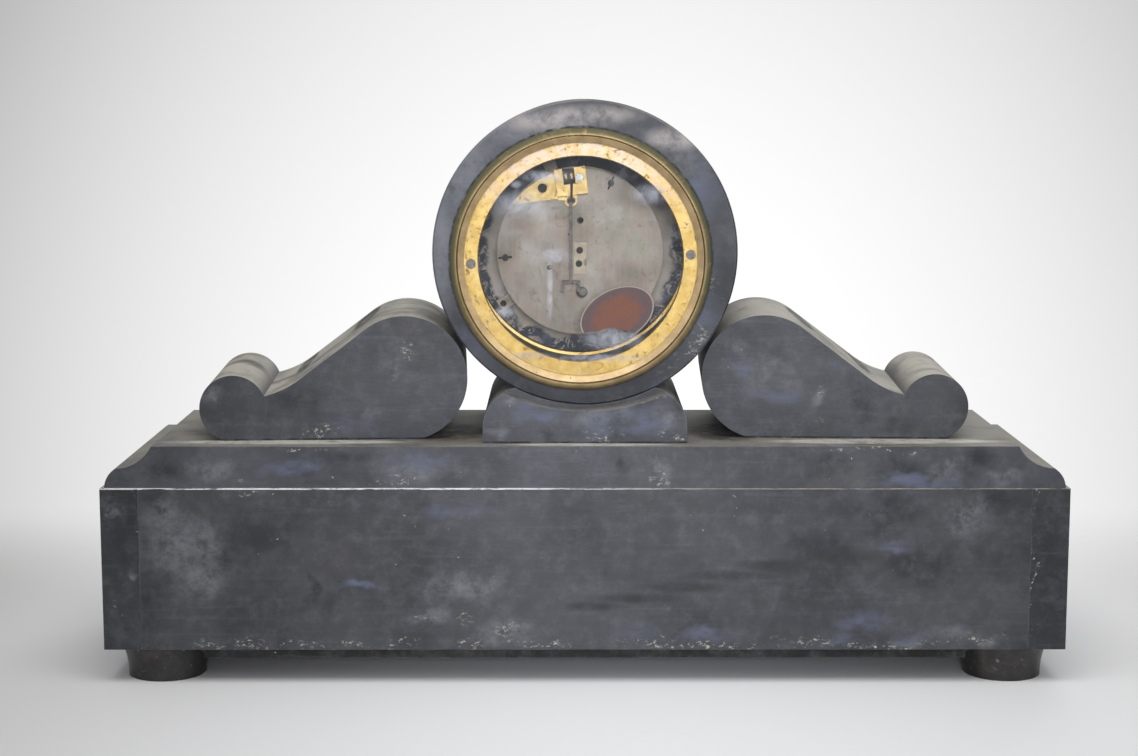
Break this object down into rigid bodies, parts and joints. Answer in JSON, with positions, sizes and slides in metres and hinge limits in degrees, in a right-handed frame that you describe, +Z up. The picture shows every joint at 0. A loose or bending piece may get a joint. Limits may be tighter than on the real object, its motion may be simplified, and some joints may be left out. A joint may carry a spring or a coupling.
{
  "type": "mantel clock",
  "caption": "Slate mantel clock with a drum on a saddle between two scrolls, a moulded plinth and a round glazed back that shows its pinned movement.",
  "frame": {"origin": "centre of the footprint on the surface that the feet stand on", "axes": "+Z up, the dial faces -Y, the glazed back faces +Y, +X to the right seen from the dial"},
  "size_m": [0.497, 0.151, 0.3],
  "materials": {
    "slate": "honed slate, dusty",
    "slate_polished": "turned slate, waxed",
    "board_slate": "sawn slate, rough",
    "gilt_brass": "gilt and lacquered, worn",
    "aged_brass": "unpolished, tarnished",
    "bright_brass": "polished",
    "steel": "bright steel, dulled",
    "iron": "black iron, rusted",
    "blued_steel": "blued",
    "enamel": "fired enamel, glossy",
    "glass": "clear, thin"
  },
  "bodies": {
    "case": {"base_front_slab": "slate", "base_back_slab": "slate", "base_left_slab": "slate", "base_right_slab": "slate", "plinth": "slate", "scroll_left": "slate", "scroll_right": "slate", "saddle": "slate", "drum": "slate", "foot_front_left": "slate_polished", "foot_front_right": "slate_polished", "foot_back_left": "slate_polished", "foot_back_right": "slate_polished", "base_board": "board_slate", "front_ring": "gilt_brass", "back_ring": "gilt_brass", "dial_plate": "aged_brass", "front_plate": "aged_brass", "back_plate": "aged_brass", "pillars": "aged_brass", "movement_brackets": "aged_brass", "centre_cock": "aged_brass", "back_cock": "bright_brass", "suspension_block": "bright_brass", "front_hinge_pin": "bright_brass", "foot_screws": "steel", "clamp_screws": "steel", "mounting_straps": "steel", "pillar_pins": "steel", "click_spring": "steel", "suspension_spring": "steel", "cock_screws": "steel", "drum_bolt": "iron", "drum_nut": "iron", "dial": "enamel"},
    "front_door": {"front_door_ring": "gilt_brass", "front_glass": "glass"},
    "back_door": {"back_door_ring": "gilt_brass", "back_glass": "glass"},
    "escape": {"escape_wheel": "bright_brass"},
    "third": {"third_wheel": "bright_brass"},
    "minute": {"centre_arbor": "steel", "centre_wheel": "bright_brass", "cannon_pinion": "bright_brass", "minute_hand": "blued_steel", "hand_nut": "gilt_brass"},
    "hour": {"hour_wheel": "bright_brass", "hour_hand": "blued_steel"},
    "minute_wheel": {"minute_wheel": "bright_brass"},
    "intermediate": {"intermediate_wheel": "bright_brass", "intermediate_arbor": "steel"},
    "going_barrel": {"barrel": "aged_brass", "barrel_cap": "aged_brass", "mainspring": "blued_steel"},
    "winding": {"barrel_arbor": "steel", "ratchet_wheel": "steel"},
    "click": {"click": "steel"},
    "anchor": {"pallets": "steel", "crutch": "steel"},
    "regulator": {"regulator_wheel": "steel"}
  },
  "joints": [
    {"name": "front_door_hinge", "type": "hinge", "parent": "case", "child": "front_door", "pos_m": [0.074, -0.0481, 0.2185], "axis": [0, 0, 1], "range_deg": [0, 115]},
    {"name": "back_door_pull", "type": "slide", "parent": "case", "child": "back_door", "axis": [0, 1, 0], "range_m": [0, 0.03]},
    {"name": "minute_turn", "type": "hinge", "parent": "case", "child": "minute", "pos_m": [0.0022, -0.02, 0.2185], "axis": [0, -1, 0], "continuous": true},
    {"name": "third_turn", "type": "hinge", "parent": "case", "child": "third", "pos_m": [0.0083, -0.02, 0.2277], "axis": [0, -1, 0], "continuous": true},
    {"name": "escape_turn", "type": "hinge", "parent": "case", "child": "escape", "pos_m": [0.0018, -0.02, 0.2353], "axis": [0, -1, 0], "continuous": true},
    {"name": "hour_turn", "type": "hinge", "parent": "case", "child": "hour", "pos_m": [0.0022, -0.02, 0.2185], "axis": [0, -1, 0], "continuous": true},
    {"name": "minute_wheel_turn", "type": "hinge", "parent": "case", "child": "minute_wheel", "pos_m": [0.0126, -0.02, 0.2153], "axis": [0, -1, 0], "continuous": true},
    {"name": "intermediate_turn", "type": "hinge", "parent": "case", "child": "intermediate", "pos_m": [0.0182, -0.02, 0.21], "axis": [0, -1, 0], "continuous": true},
    {"name": "barrel_turn", "type": "hinge", "parent": "case", "child": "going_barrel", "pos_m": [0.0008, -0.02, 0.1967], "axis": [0, -1, 0], "continuous": true},
    {"name": "winding_turn", "type": "hinge", "parent": "case", "child": "winding", "pos_m": [0.0008, -0.02, 0.1967], "axis": [0, -1, 0], "continuous": true},
    {"name": "click_lift", "type": "hinge", "parent": "case", "child": "click", "pos_m": [-0.01048, -0.035, 0.1926], "axis": [0, -1, 0], "range_deg": [0, 12]},
    {"name": "anchor_swing", "type": "hinge", "parent": "case", "child": "anchor", "pos_m": [0.0072, -0.01, 0.2461], "axis": [0, -1, 0], "range_deg": [-3, 3]},
    {"name": "regulator_turn", "type": "hinge", "parent": "case", "child": "regulator", "pos_m": [0.0026, 0, 0.2587], "axis": [0, -1, 0], "range_deg": [-180, 180]}
  ],
  "couplings": [
    {"joint": "third_turn", "follows": "minute_turn", "ratio": -12.333},
    {"joint": "escape_turn", "follows": "minute_turn", "ratio": 152.11},
    {"joint": "hour_turn", "follows": "minute_turn", "ratio": 0.083333},
    {"joint": "minute_wheel_turn", "follows": "minute_turn", "ratio": -0.33333},
    {"joint": "intermediate_turn", "follows": "minute_turn", "ratio": -0.16667},
    {"joint": "barrel_turn", "follows": "minute_turn", "ratio": 0.02381}
  ]
}
